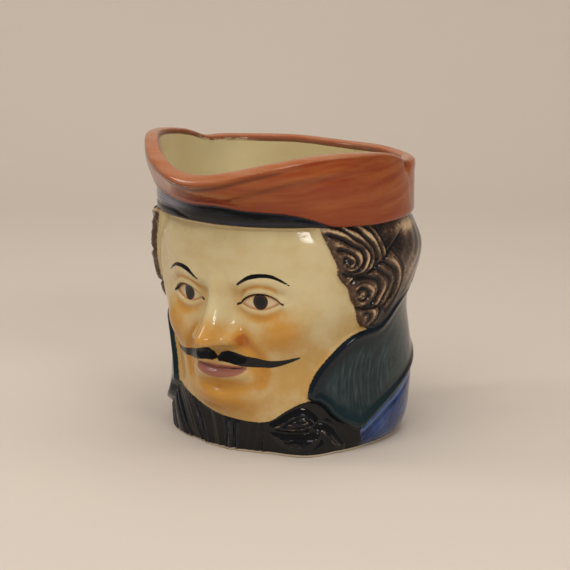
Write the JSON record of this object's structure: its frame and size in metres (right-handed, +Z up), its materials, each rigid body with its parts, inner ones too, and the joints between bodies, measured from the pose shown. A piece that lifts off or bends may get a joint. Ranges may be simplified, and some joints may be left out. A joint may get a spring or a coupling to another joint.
{
  "type": "toby jug",
  "caption": "Hollow glazed ceramic face jug: a bearded man's head in a cocked hat whose brim is the rim, with a pouring lip over the face and a loop handle at the back.",
  "frame": {"origin": "middle of the flat underside, on the surface the jug stands on", "axes": "+Z up, -Y the way the face and the pouring lip look, +Y towards the handle, +X the wearer's left"},
  "size_m": [0.093, 0.1276, 0.1045],
  "materials": {
    "glazed_body": "gloss"
  },
  "bodies": {
    "root": {"jug": "glazed_body"}
  },
  "joints": []
}
